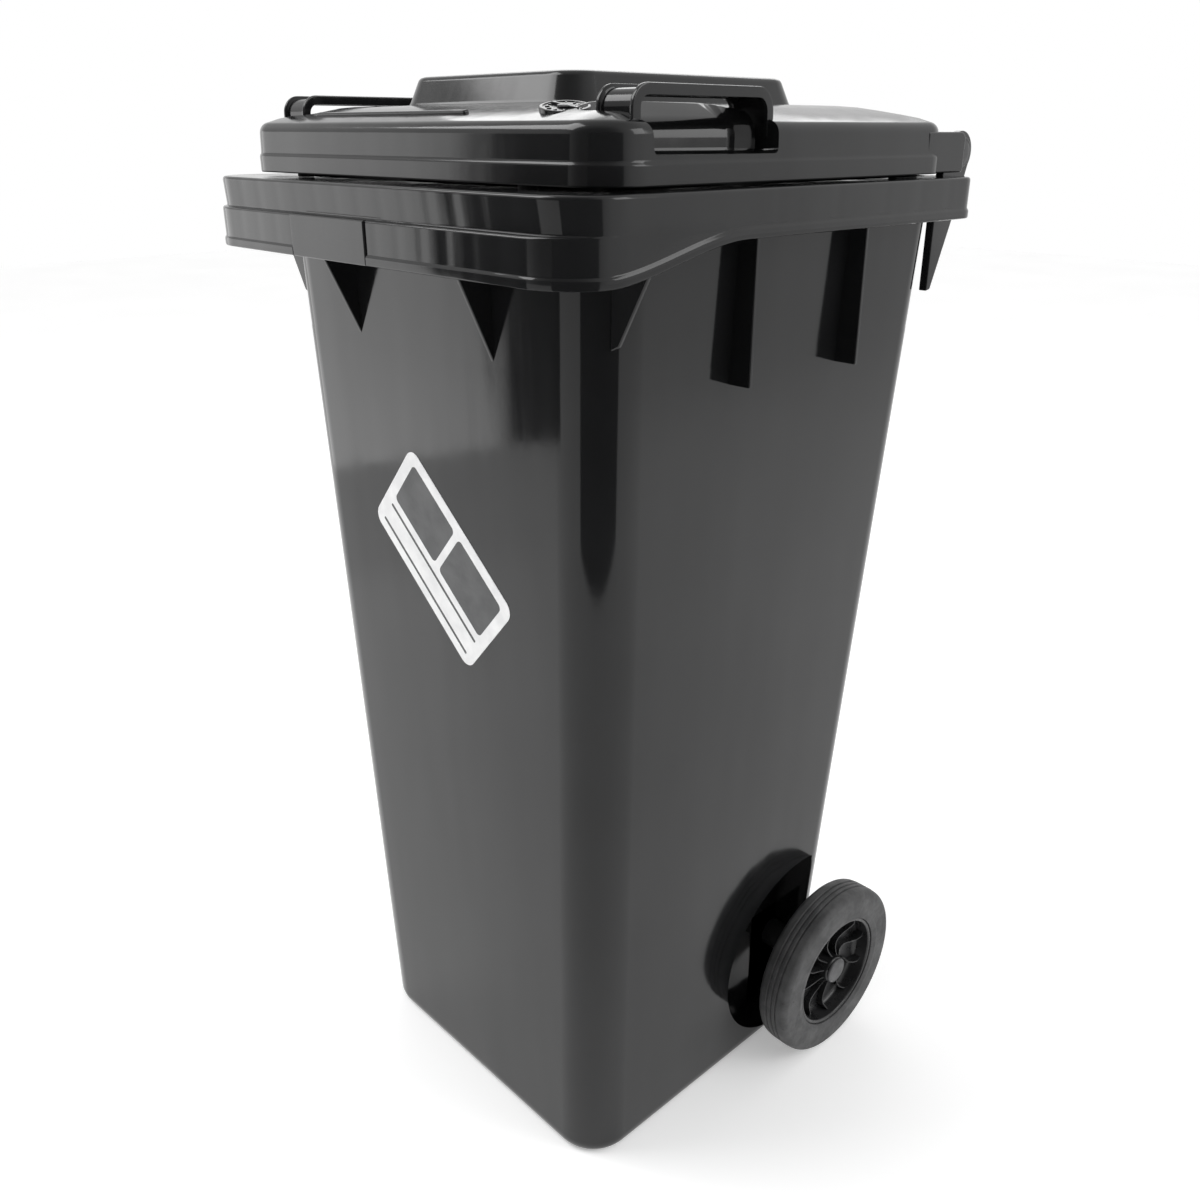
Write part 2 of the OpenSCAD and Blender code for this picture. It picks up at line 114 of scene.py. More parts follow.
# ---------------------------------------------------------------- sizes of the lid
LID_X = 238
LID_GAP, SKIRT_H = 3, 38
LID_FRONT, LID_REAR = 223, 196
LID_CORNER, LID_CORNER_REAR = 38, 34
SKIRT_Z = RIM_Z + LID_GAP
LID_TOP_Z = SKIRT_Z + SKIRT_H
LID_WALL = 3
PLATEAU_X = 106
PLATEAU_Y = (-130, 134)
RECESS_Y = (-176, -46)
RECESS_Z = SKIRT_Z + 19
STRAP_W = 36
STRAP_X = LID_X - 30
KNUCKLE = (EAR_INNER[1] + GAP, EAR_OUTER[0] - GAP)
KNUCKLE_R = EAR_R - 1

# ---------------------------------------------------------------- sizes of the wheels and label
HUB_R = (box_mm("hub_r")[1].z - box_mm("hub_r")[0].z) / 2
SPOKES = 10
LABEL_TILT = -42
LABEL_W, LABEL_H = 180, 106
LABEL_X, LABEL_Z = 2, 622

# ---------------------------------------------------------------- camera, solved from the photograph
CAMERA_AT = (0.7807, -0.7417, 0.9781)
CAMERA_TURN, CAMERA_PITCH = 46.6, 23.8
CAMERA_LENS = 33.18
CAMERA_SHIFT = (0.00175, 0.01525)


# ---------------------------------------------------------------- mesh helpers
def add_mesh(name, points, faces):
    """Mesh object from points in millimetres and faces."""
    mesh = bpy.data.meshes.new(name)
    mesh.from_pydata([Vector(p) * MM for p in points], [], faces)
    mesh.validate()
    obj = bpy.data.objects.new(name, mesh)
    bpy.context.collection.objects.link(obj)
    return obj


def bake(obj):
    """Applies the object's modifiers to its mesh."""
    bpy.context.view_layer.update()
    evaluated = obj.evaluated_get(bpy.context.evaluated_depsgraph_get())
    mesh = bpy.data.meshes.new_from_object(evaluated)
    obj.modifiers.clear()
    obj.data = mesh
    return obj


def modify(obj, kind, **settings):
    """Adds one modifier with these settings and bakes it."""
    modifier = obj.modifiers.new(kind, kind)
    for key, value in settings.items():
        setattr(modifier, key, value)
    return bake(obj)


def cut(obj, *cutters, operation="DIFFERENCE"):
    """Cuts closed meshes out of obj, or joins them to it, and removes them."""
    for cutter in cutters:
        modify(obj, "BOOLEAN", object=cutter, operation=operation, solver="EXACT")
        bpy.data.objects.remove(cutter)
    return obj


def bevel(obj, width, segments=3, angle=35):
    return modify(obj, "BEVEL", width=width * MM, segments=segments, limit_method="ANGLE",
                  angle_limit=math.radians(angle), use_clamp_overlap=True)


def smooth(obj, angle=38):
    """Smooth shading that keeps flat faces flat and breaks at sharp edges."""
    obj.data.shade_smooth()
    obj.data.set_sharp_from_angle(angle=math.radians(angle))
    return modify(obj, "WEIGHTED_NORMAL", mode="FACE_AREA", keep_sharp=True)


def join(name, objects):
    """Several mesh objects as one, named name."""
    bpy.ops.object.select_all(action="DESELECT")
    for obj in objects:
        obj.select_set(True)
    bpy.context.view_layer.objects.active = objects[0]
    bpy.ops.object.join()
    objects[0].name = name
    objects[0].data.name = name
    return objects[0]


def loft(name, rings, closed=False):
    """Closed surface through rings of the same length: capped at its ends, or joined end to end."""
    count = len(rings[0])
    points = [p for ring in rings for p in ring]
    faces = []
    for r in range(len(rings) if closed else len(rings) - 1):
        low, high = r * count, (r + 1) % len(rings) * count
        for i in range(count):
            j = (i + 1) % count
            faces.append((low + i, low + j, high + j, high + i))
    if not closed:
        faces.append(tuple(range(count - 1, -1, -1)))
        faces.append(tuple(range((len(rings) - 1) * count, len(rings) * count)))
    return add_mesh(name, points, faces)


def prism(name, outline, axis, low, high):
    """Outline drawn in the plane across an axis and carried from low to high along it."""
    put = {
        "x": lambda a, b, t: (t, a, b),
        "y": lambda a, b, t: (a, t, b),
        "z": lambda a, b, t: (a, b, t),
    }
    area = sum(a[0] * b[1] - b[0] * a[1] for a, b in zip(outline, outline[1:] + outline[:1]))
    turned = (area > 0) == (axis != "y")
    ends = (low, high) if turned else (high, low)
    return loft(name, [[put[axis](a, b, t) for a, b in outline] for t in ends])


def block(name, x, y, z):
    return prism(name, [(x[0], y[0]), (x[1], y[0]), (x[1], y[1]), (x[0], y[1])], "z", *z)


def arc(cx, cy, r, start, end, steps):
    """Points on an arc from one angle to another, in degrees, ends included."""
    angles = [math.radians(start + (end - start) * i / steps) for i in range(steps + 1)]
    return [(cx + r * math.cos(a), cy + r * math.sin(a)) for a in angles]


def lathe(name, profile, turns=96):
    """Closed (radius, height) profile turned round the Z axis."""
    rings = [[(r * math.cos(a), r * math.sin(a), h) for r, h in profile]
             for a in (2 * math.pi * i / turns for i in range(turns))]
    return loft(name, rings, closed=True)


def disc(name, profile, turns=96):
    """Solid (radius, height) profile from its first ring to its last, capped at both ends."""
    rings = [[(r * math.cos(2 * math.pi * i / turns), r * math.sin(2 * math.pi * i / turns), h)
              for i in range(turns)] for r, h in profile]
    return loft(name, rings)


def place(obj, matrix):
    """Moves a mesh by a matrix whose lengths are in millimetres."""
    obj.data.transform(Matrix.Scale(1 / MM, 4))
    obj.data.transform(matrix)
    obj.data.transform(Matrix.Scale(MM, 4))
    return obj


def along_x(side, x, y, z):
    """Turns something built along +Z so that it points out to one side from (x, y, z)."""
    return Matrix.Translation((side * x, y, z)) @ Matrix.Rotation(side * math.pi / 2, 4, "Y")


def plan(x, front, rear, r_front, r_rear, steps=(24, 24, 12)):
    """Rounded rectangle as a ring of (x, y), counterclockwise from above, front edge first."""
    across, along, turn = steps
    ring = []
    for i in range(across):
        ring.append((-(x - r_front) + 2 * (x - r_front) * i / across, front))
    ring += arc(x - r_front, front + r_front, r_front, -90, 0, turn)[:-1]
    y0, y1 = front + r_front, rear - r_rear
    ring += [(x, y0 + (y1 - y0) * i / along) for i in range(along)]
    ring += arc(x - r_rear, y1, r_rear, 0, 90, turn)[:-1]
    ring += [((x - r_rear) - 2 * (x - r_rear) * i / across, rear) for i in range(across)]
    ring += arc(-(x - r_rear), y1, r_rear, 90, 180, turn)[:-1]
    ring += [(-x, y1 - (y1 - y0) * i / along) for i in range(along)]
    ring += arc(-(x - r_front), y0, r_front, 180, 270, turn)[:-1]
    return ring


def at_height(ring, z):
    return [(x, y, z) for x, y in ring]


# ---------------------------------------------------------------- materials
def nodes_of(name):
    material = bpy.data.materials.new(name)
    material.use_nodes = True
    tree = material.node_tree
    return material, tree, tree.nodes["Principled BSDF"]


def noise(tree, scale, detail=3.0, stretch=(1, 1, 1), rough=0.55):
    """Noise in the object's own metres, stretched along an axis if asked."""
    coordinates = tree.nodes.new("ShaderNodeTexCoord")
    mapping = tree.nodes.new("ShaderNodeMapping")
    mapping.inputs["Scale"].default_value = stretch
    texture = tree.nodes.new("ShaderNodeTexNoise")
    texture.inputs["Scale"].default_value = scale
    texture.inputs["Detail"].default_value = detail
    texture.inputs["Roughness"].default_value = rough
    tree.links.new(coordinates.outputs["Object"], mapping.inputs["Vector"])
    tree.links.new(mapping.outputs["Vector"], texture.inputs["Vector"])
    return texture.outputs["Fac"]


def spread(tree, value, low, high, start=0.3, end=0.7):
    """Maps start..end of a value to low..high."""
    node = tree.nodes.new("ShaderNodeMapRange")
    node.interpolation_type = "SMOOTHSTEP"
    node.inputs["From Min"].default_value = start
    node.inputs["From Max"].default_value = end
    node.inputs["To Min"].default_value = low
    node.inputs["To Max"].default_value = high
    tree.links.new(value, node.inputs["Value"])
    return node.outputs["Result"]


def blend(tree, factor, first, second):
    """Mixes two colours; each is a colour or a socket."""
    node = tree.nodes.new("ShaderNodeMix")
    node.data_type = "RGBA"
    # Inputs 6 and 7 are its two colours, and output 2 is the mixed colour.
    for index, colour in ((6, first), (7, second)):
        if isinstance(colour, bpy.types.NodeSocket):
            tree.links.new(colour, node.inputs[index])
        else:
            node.inputs[index].default_value = (*colour, 1)
    tree.links.new(factor, node.inputs[0])
    return node.outputs[2]


def bump(tree, shader, height, depth, under=None):
    """Bump of a depth in metres, on top of another one if given."""
    node = tree.nodes.new("ShaderNodeBump")
    node.inputs["Strength"].default_value = 1
    node.inputs["Distance"].default_value = depth
    tree.links.new(height, node.inputs["Height"])
    if under is not None:
        tree.links.new(under, node.inputs["Normal"])
    tree.links.new(node.outputs["Normal"], shader.inputs["Normal"])
    return node.outputs["Normal"]


def upward(tree, start, end):
    """How far a surface faces up: 0 below start, 1 above end."""
    geometry = tree.nodes.new("ShaderNodeNewGeometry")
    split = tree.nodes.new("ShaderNodeSeparateXYZ")
    tree.links.new(geometry.outputs["Normal"], split.inputs["Vector"])
    return spread(tree, split.outputs["Z"], 0, 1, start, end)


def multiply(tree, first, second):
    node = tree.nodes.new("ShaderNodeMath")
    node.operation = "MULTIPLY"
    tree.links.new(first, node.inputs[0])
    tree.links.new(second, node.inputs[1])
    return node.outputs["Value"]


def gloss_plastic(name, colour, roughness):
    """Semi-gloss moulded polyethylene: mottled colour, flow waves, fine grain, scuffs and dust."""
    material, tree, shader = nodes_of(name)
    dusty = tuple(c * 2.6 + 0.012 for c in colour)
    darker = tuple(c * 0.72 for c in colour)
    mottle = spread(tree, noise(tree, 9, 4), 0, 1)
    flow = spread(tree, noise(tree, 5, 3, (1, 1, 0.25)), 0, 1)
    dust = multiply(tree, upward(tree, 0.35, 0.95), spread(tree, noise(tree, 14, 5), 0, 0.35, 0.4, 0.75))
    base = blend(tree, mottle, darker, colour)
    tree.links.new(blend(tree, dust, base, dusty), shader.inputs["Base Color"])
    scuffs = noise(tree, 40, 8, (1, 1, 0.06), 0.7)
    rough = tree.nodes.new("ShaderNodeMath")
    rough.operation = "ADD"
    tree.links.new(spread(tree, scuffs, roughness * 0.8, roughness * 1.35), rough.inputs[0])
    tree.links.new(spread(tree, dust, 0, 0.16, 0, 0.6), rough.inputs[1])
    tree.links.new(rough.outputs["Value"], shader.inputs["Roughness"])
    waves = bump(tree, shader, flow, 0.0006)
    bump(tree, shader, noise(tree, 120, 2), 0.000012, waves)
    shader.inputs["IOR"].default_value = 1.40
    return material


def satin_plastic(name, colour, roughness):
    """Satin black moulding with a fine spark-eroded grain."""
    material, tree, shader = nodes_of(name)
    lighter = tuple(c * 1.8 + 0.006 for c in colour)
    tree.links.new(blend(tree, spread(tree, noise(tree, 30, 5), 0, 1), colour, lighter),
                   shader.inputs["Base Color"])
    tree.links.new(spread(tree, noise(tree, 90, 4), roughness * 0.8, roughness * 1.25),
                   shader.inputs["Roughness"])
    waves = bump(tree, shader, noise(tree, 25, 2), 0.0002)
    bump(tree, shader, noise(tree, 1100, 3), 0.00004, waves)
    return material


def rubber(name, colour, worn):
    """Dull rubber: cloudy dust, darker scuffs and a pitted skin."""
    material, tree, shader = nodes_of(name)
    clouds = spread(tree, noise(tree, 28, 6, rough=0.65), 0, 1, 0.35, 0.68)
    specks = spread(tree, noise(tree, 230, 5, rough=0.7), 0, 0.75, 0.6, 0.72)
    dark = tuple(c * 0.35 for c in colour)
    tree.links.new(blend(tree, specks, blend(tree, clouds, colour, worn), dark),
                   shader.inputs["Base Color"])
    tree.links.new(spread(tree, noise(tree, 70, 4), 0.55, 0.8), shader.inputs["Roughness"])
    skin = bump(tree, shader, noise(tree, 420, 5), 0.00018)
    bump(tree, shader, noise(tree, 60, 3), 0.0004, skin)
    shader.inputs["Specular IOR Level"].default_value = 0.4
    return material


def plated_steel(name):
    """Zinc-plated steel: brushed round its length, with dull patches."""
    material, tree, shader = nodes_of(name)
    patches = spread(tree, noise(tree, 55, 5), 0, 1)
    tree.links.new(blend(tree, patches, (0.42, 0.43, 0.44), (0.62, 0.63, 0.65)),
                   shader.inputs["Base Color"])
    tree.links.new(spread(tree, noise(tree, 120, 5, (8, 1, 1)), 0.22, 0.48), shader.inputs["Roughness"])
    bump(tree, shader, noise(tree, 500, 3, (6, 1, 1)), 0.00002)
    shader.inputs["Metallic"].default_value = 1
    return material


def label_film(name, colour, shade):
    """Vinyl film: faint print mottle, wrinkles where it was smoothed down, satin finish."""
    material, tree, shader = nodes_of(name)
    tree.links.new(blend(tree, spread(tree, noise(tree, 45, 6), 0, 1), shade, colour),
                   shader.inputs["Base Color"])
    tree.links.new(spread(tree, noise(tree, 35, 4), 0.28, 0.5), shader.inputs["Roughness"])
    wrinkles = bump(tree, shader, noise(tree, 22, 5, (1, 1, 2.5)), 0.0005)
    bump(tree, shader, noise(tree, 700, 2), 0.00002, wrinkles)
    return material


CHARCOAL = (0.009, 0.0092, 0.0096)
MATERIALS = {
    "container_plastic": gloss_plastic("container_plastic", CHARCOAL, 0.09),
    "lid_plastic": gloss_plastic("lid_plastic", CHARCOAL, 0.11),
    "cover_plastic": gloss_plastic("cover_plastic", (0.014, 0.0142, 0.0147), 0.12),
    "dial_plastic": gloss_plastic("dial_plastic", CHARCOAL, 0.14),
    "black_plastic": satin_plastic("black_plastic", (0.010, 0.010, 0.0105), 0.4),
    "hub_plastic": satin_plastic("hub_plastic", (0.007, 0.007, 0.0075), 0.3),
    "cap_plastic": satin_plastic("cap_plastic", (0.045, 0.045, 0.047), 0.45),
    "tyre_rubber": rubber("tyre_rubber", (0.050, 0.050, 0.051), (0.085, 0.085, 0.086)),
    "buffer_rubber": rubber("buffer_rubber", (0.012, 0.012, 0.012), (0.03, 0.03, 0.03)),
    "steel": plated_steel("steel"),
    "label_film": label_film("label_film", (0.86, 0.86, 0.86), (0.74, 0.74, 0.745)),
    "label_print": label_film("label_print", (0.06, 0.061, 0.063), (0.045, 0.046, 0.048)),
}


def dress(obj, body, slot, *replaced, material=None):
    """Gives a finished piece the material of its slot, or the one named, puts it on its body and hides the
    CAD nodes that it stands for.
    """
    obj.data.materials.clear()
    obj.data.materials.append(MATERIALS[material or slot])
    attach(obj, body)
    if replaced:
        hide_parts(*replaced)
    return obj


# ---------------------------------------------------------------- container
def body_plan(z, inset):
    """Outline of the tapered walls at a height, drawn in by inset."""
    t = z / RIM_Z
    ring = plan(BASE_X + (TOP_X - BASE_X) * t - inset,
                -(BASE_FRONT + (TOP_FRONT - BASE_FRONT) * t) + inset,
                BASE_REAR + (TOP_REAR - BASE_REAR) * t - inset,
                CORNER_FRONT - inset, CORNER_REAR - inset, (12, 12, 14))
    return at_height(ring, z)


def arch_cutters(grow):
    """Closed shapes of the wheel arches, their room for the spacers, and the raised rear floor."""
    channel = ARCH_X - WALL + grow
    cutters = [block("rear_cut", (-channel, channel), (STEP_Y - grow, 400), (-20, STEP_Z + grow))]
    r = ARCH_R + grow
    flat = math.degrees(math.acos((ARCH_REAR + grow - ARCH_Y) / r))
    outline = arc(ARCH_Y, ARCH_Z, r, flat, 360 - flat, 112)
    for side in (-1, 1):
        ends = sorted((side * (ARCH_X - grow), side * 280))
        cutters.append(prism("arch_cut", outline, "x", *ends))
        room = arc(AXLE.y, AXLE.z, SPACER_R + 3 + grow, 0, 360, 64)[:-1]
        cutters.append(prism("spacer_cut", room, "x", *ends))
    return cutters


def walls():
    """Tapered walls, floor, wheel arches and raised rear floor, with a fine mould line."""
    foot = [(0, 9), (0.8, 6.2), (2.6, 3.6), (5.5, 1.6), (10, 0.3), (15, 0)]
    rings = [body_plan(z, inset) for z, inset in foot]
    rings += [body_plan(z, 0) for z in range(60, 800, 60)]
    rings += [body_plan(MOULD_LINE_Z - 0.8, 0), body_plan(MOULD_LINE_Z, MOULD_LINE)]
    rings += [body_plan(RIM_Z - 2, MOULD_LINE)]
    outer = cut(loft("bin_walls", rings), *arch_cutters(0))
    hollow = [(WALL + 1, 13), (WALL + 2.2, 9), (WALL + 5, 6), (WALL + 10, WALL)]
    rings = [body_plan(z, inset) for z, inset in hollow] + [body_plan(RIM_Z + 4, WALL)]
    inner = cut(loft("hollow", rings), *arch_cutters(WALL))
    return smooth(cut(outer, inner), 30)


def lower_edge(y):
    """Height of the lower rim edge: low along the comb, rising in an S to the sides."""
    t = min(1, max(0, (y + RIM_FRONT - EDGE_RISE_START) / EDGE_RISE_LENGTH))
    return APRON_Z + (SIDE_APRON_Z - APRON_Z) * t * t * (3 - 2 * t)


def rim_plan(inset, back=0):
    """Outline of the rim, drawn in by inset and set back by more at the front."""
    return plan(RIM_X - inset, -RIM_FRONT + inset + back, RIM_REAR - inset,
                RIM_CORNER - inset - back, RIM_CORNER_REAR - inset, (96, 96, 14))


def mouth_plan(inset):
    """Outline of the rim's inner edge, round the mouth."""
    return plan(TOP_X - WALL - 3 - inset, -TOP_FRONT + WALL + 3 + inset, TOP_REAR - WALL - 3 - inset,
                CORNER_FRONT - WALL - 3 - inset, CORNER_REAR - WALL - 3 - inset, (96, 96, 14))


def sink(x, y):
    """Depth of the sink marks that the ribs leave in the outer face of the rim."""
    if y < -RIM_FRONT + COMB_FACE:
        from_rib = abs((x + COMB_PITCH / 2) % COMB_PITCH - COMB_PITCH / 2)
        return COMB_SINK * math.exp(-(from_rib / SINK_W) ** 2)
    if y < RIM_REAR - 30:
        return max(SIDE_SINK * math.exp(-((y - mark) / SINK_W) ** 2) for mark in SIDE_MARKS_Y)
    return 0


def rim():
    """Two-tier comb rim: one closed profile carried round the mouth of the container."""
    inner = BEAD + RIM_T
    step = TIER_STEP + 1.2
    upper = LEDGE_Z + 1.8
    # inset, extra set-back at the front, height, height is above the lower edge, has sink marks
    profile = [
        (inner, 0, 0.8, True, False), (inner - 0.7, 0, 0, True, False), (0.9, 0, 0, True, False),
        (0.2, 0, 0.5, True, False), (0, 0, 1.6, True, False), (0, 0, 5.6, True, False),
        (0.3, 0, 6.8, True, False), (1.1, 0, 7.8, True, False), (BEAD, 0, 9, True, True),
        (BEAD, 0, LEDGE_Z - 2.2, False, True), (BEAD, 0.5, LEDGE_Z - 0.8, False, True),
        (BEAD, 1.8, LEDGE_Z, False, False), (BEAD, step - 1.4, LEDGE_Z + 0.3, False, False),
        (BEAD, step - 0.3, LEDGE_Z + 0.8, False, False), (BEAD, step, upper, False, True),
        (BEAD, TIER_STEP - 0.8, RIM_Z - 3, False, True),
        (BEAD + 0.4, TIER_STEP - 0.8, RIM_Z - 1.3, False, True),
        (BEAD + 1.5, TIER_STEP - 0.8, RIM_Z - 0.3, False, False),
        (BEAD + 3.2, TIER_STEP - 0.8, RIM_Z, False, False),
    ]
    edge = rim_plan(0)
    low = [lower_edge(y) for _, y in edge]
    rings = []
    for inset, back, height, from_edge, marked in profile:
        ring = rim_plan(inset, back)
        points = []
        for (x, y), (ex, ey), base in zip(ring, edge, low):
            z = base + height if from_edge else max(height, base + 10 + (height - LEDGE_Z) * 0.3)
            depth = sink(ex, ey) if marked else 0
            if ey < -RIM_FRONT + COMB_FACE:
                y += depth
            else:
                x -= math.copysign(depth, x)
            points.append((x, y, z))
        rings.append(points)
    for inset, z in ((-1.8, RIM_Z), (-0.6, RIM_Z - 0.4), (0, RIM_Z - 1.6), (0, RIM_Z - RIM_T)):
        rings.append(at_height(mouth_plan(inset), z))
    rings.append(at_height(rim_plan(inner, step), RIM_Z - RIM_T))
    rings.append(at_height(rim_plan(inner, step), LEDGE_Z - 3))
    rings.append(at_height(rim_plan(inner, 0), LEDGE_Z - 4))
    body = loft("bin_rim", rings, closed=True)
    panel_lo, panel_hi = box_mm("chip_cover")
    pocket = block("pocket", (panel_lo.x - GAP, panel_hi.x + GAP),
                   (-RIM_FRONT - 2, panel_hi.y + 0.2), (APRON_Z - 2, panel_hi.z + 0.4))
    return smooth(cut(body, pocket), 42)


def comb_ribs():
    """Ribs behind the comb tiers and short ribs under the side rim."""
    ribs = []
    front = RIM_FRONT - BEAD - RIM_T - TIER_STEP + 1
    for i in range(-7, 8):
        x = i * COMB_PITCH
        ribs.append(block("rib", (x - RIB_T / 2, x + RIB_T / 2), (-front, -TOP_FRONT + 3),
                          (LEDGE_Z - 22, RIM_Z - 2)))
    for side in (-1, 1):
        ends = sorted((side * (TOP_X - 2), side * (RIM_X - 4)))
        for y in SIDE_RIBS_Y:
            ribs.append(block("rib", ends, (y - RIB_T / 2, y + RIB_T / 2),
                              (SIDE_APRON_Z + 4, RIM_Z - 2)))
    return smooth(bevel(join("comb_ribs", ribs), 0.6, 2))


def gussets():
    """Front gussets, corner gussets and side fins under the rim."""
    plates = []
    upper_tier = -RIM_FRONT + BEAD + RIM_T + TIER_STEP - 1
    front = [(-TOP_FRONT + 8, APRON_Z - 71), (-TOP_FRONT + 2.8, APRON_Z - 69.5),
             (-TOP_FRONT - 30, APRON_Z + 0.5), (upper_tier, LEDGE_Z - 4), (upper_tier, RIM_Z - 3),
             (-TOP_FRONT + 8, RIM_Z - 3)]
    for side in (-1, 1):
        x = side * GUSSET_X
        plates.append(prism("gusset", front, "x", x - RIB_T / 2, x + RIB_T / 2))
        corner = [(side * (TOP_X - 10), CORNER_GUSSET_FOOT), (side * (TOP_X - 2), CORNER_GUSSET_KNEE),
                  (side * (RIM_X - 4), lower_edge(CORNER_GUSSET_Y) + 4),
                  (side * (RIM_X - 4), CORNER_GUSSET_TIP), (side * (TOP_X - 10), RIM_Z - 3)]
        plates.append(prism("gusset", corner, "y", CORNER_GUSSET_Y - RIB_T / 2,
                            CORNER_GUSSET_Y + RIB_T / 2))
        for y in FINS_Y:
            ends = sorted((side * (TOP_X - 8), side * FIN_X))
            plates.append(block("fin", ends, (y - RIB_T / 2, y + RIB_T / 2), (FIN_Z, RIM_Z - 3)))
    return smooth(bevel(join("rim_gussets", plates), 0.9, 3))


def ear_outline():
    """Side view of a hinge ear: a round eye carried by a gusset on the rear wall."""
    eye = arc(HINGE.y, HINGE.z, EAR_R, -35, 160, 40)
    foot = [(TOP_REAR - 8, RIM_Z - 100), (TOP_REAR - 1.5, RIM_Z - 99), (HINGE.y + 1, SIDE_APRON_Z + 2)]
    return foot + eye + [(RIM_REAR - 7, RIM_Z - 1), (TOP_REAR - 8, RIM_Z - 1)]


def hinge_ears():
    """Four hinge ears, an inner and an outer one at each side."""
    ears = []
    for side in (-1, 1):
        for ends in (EAR_INNER, EAR_OUTER):
            ears.append(prism("ear", ear_outline(), "x", *sorted((side * ends[0], side * ends[1]))))
    return smooth(bevel(join("hinge_ears", ears), 1.2, 3))


def grip_bar():
    """Bar between the inner ears, flared where it meets them."""
    half = EAR_INNER[0] + 0.5
    end = [(GRIP_R + 4, half), (GRIP_R + 3.2, half - 0.8), (GRIP_R + 1.4, half - 3),
           (GRIP_R + 0.4, half - 6), (GRIP_R, half - 10)]
    profile = [(r, -z) for r, z in end] + [(GRIP_R, 0)] + [(r, z) for r, z in reversed(end)]
    bar = disc("grip_bar", profile, 64)
    return smooth(place(bar, along_x(1, 0, HINGE.y, HINGE.z)))


def axle_ribs():
    """Bearing ribs under the raised rear floor that grip the axle."""
    plates = []
    outer = [(STEP_Y - 3, 12), (STEP_Y + 16, 12), (AXLE.y + 30, AXLE.z - 32),
             (AXLE.y + 30, STEP_Z + 2), (STEP_Y - 3, STEP_Z + 2)]
    inner = arc(AXLE.y, AXLE.z, 23, 180, 360, 24)
    inner += [(AXLE.y + 23, STEP_Z + 2), (AXLE.y - 23, STEP_Z + 2)]
    for side in (-1, 1):
        for x, outline in ((ARCH_X - 4, outer), (50, inner)):
            plates.append(prism("saddle", outline, "x", side * x - 4, side * x + 4))
    return smooth(bevel(join("axle_ribs", plates), 1, 3))


def chip_cover():
    """Flush cover in the lower comb tier, with softened edges."""
    lo, hi = box_mm("chip_cover")
    return smooth(bevel(block("chip_panel", (lo.x, hi.x), (lo.y, hi.y), (lo.z, hi.z)), 1.1, 4))


# ---------------------------------------------------------------- lid
def lid_plan(inset, z):
    """Outline of the lid at a height, drawn in by inset."""
    return at_height(plan(LID_X - inset, -LID_FRONT + inset, LID_REAR - inset,
                          max(12, LID_CORNER - inset), max(10, LID_CORNER_REAR - inset),
                          (40, 40, 14)), z)


def lid_skin(drop):
    """Closed lid shape from skirt to crown, drawn in by drop all round."""
    shoulder_r = 9.5
    rows = [(0.5 + drop, SKIRT_Z if not drop else SKIRT_Z - 6)]
    if not drop:
        rows += [(0.1, SKIRT_Z + 0.5), (0, SKIRT_Z + 1.2), (0, SKIRT_Z + 12.6), (0.4, SKIRT_Z + 14),
                 (1.2, SKIRT_Z + 15), (1.5, SKIRT_Z + 16.5)]
    shoulder = arc(2.2 + shoulder_r, LID_TOP_Z + 3 - shoulder_r, shoulder_r - drop * 0.9, 180, 100, 10)
    rows += [(inset, z) for inset, z in shoulder]
    crown = [(20, 5.9), (32, 8.6), (46, 11.7), (58, 14), (70, 15.2), (86, 15.8), (130, 16), (185, 16)]
    rows += [(inset, LID_TOP_Z + rise - drop) for inset, rise in crown]
    return loft("lid_skin", [lid_plan(inset, z) for inset, z in rows])


def recess_cutter(side, grow):
    """Hand recess: rounded at its floor, flared where it opens through the top of the lid."""
    wall_x = LID_X - 50 - grow
    y0, y1 = RECESS_Y[0] - grow, RECESS_Y[1] + grow
    rings = []
    bottom = RECESS_Z - grow
    top = LID_TOP_Z - bottom
    rounding = [(4.0, 0), (1.9, 0.5), (0.6, 1.8), (0, 4), (0, top - 9), (-0.9, top - 4),
                (-2.6, top - 0.5), (-5.5, top + 2.6), (-12, top + 6), (-30, top + 16)]
    for inset, rise in rounding:
        r = 7 + max(0, -inset) * 0.6
        left, low, high = wall_x + inset, y0 + inset, y1 - max(0, inset)
        ring = [(LID_X + 30, low), (LID_X + 30, high)]
        ring += [(LID_X - 24 + inset * 0.4, high)]
        ring += arc(left + 16 + r, high - 20 - r * 0.3, r, 118, 180, 6)
        ring += arc(left + r, low + r, r, 180, 270, 8)
        rings.append([(side * x, y, bottom + rise) for x, y in ring])
    if side < 0:
        rings = [list(reversed(ring)) for ring in rings]
    return loft("recess", rings)


def raised_middle(drop):
    """Raised middle of the lid with sloping sides and rounded top edges."""
    y0, y1 = PLATEAU_Y
    rows = [(-10.5, LID_TOP_Z - 2), (-9, LID_TOP_Z + 8), (-8, LID_TOP_Z + 16), (-6.8, LID_TOP_Z + 18),
            (-0.6, PLATEAU_Z - 4), (0.2, PLATEAU_Z - 2.4), (1.7, PLATEAU_Z - 0.9), (4.4, PLATEAU_Z - 0.1),
            (14, PLATEAU_Z)]
    rings = []
    for inset, z in rows:
        rings.append(at_height(plan(PLATEAU_X - inset - drop, y0 + inset + drop, y1 - inset - drop,
                                    24 - inset * 0.6, 24 - inset * 0.6, (24, 24, 12)), z - drop))
    return loft("raised_middle", rings)


def lid_shell():
    """Hollow lid with its raised middle and two hand recesses."""
    outer = cut(lid_skin(0), raised_middle(0), operation="UNION")
    outer = cut(outer, recess_cutter(-1, 0), recess_cutter(1, 0))
    inner = cut(lid_skin(LID_WALL), raised_middle(LID_WALL), operation="UNION")
    inner = cut(inner, recess_cutter(-1, LID_WALL), recess_cutter(1, LID_WALL))
    shell = cut(outer, inner)
    shell.name = "lid_shell"
    return smooth(shell, 32)


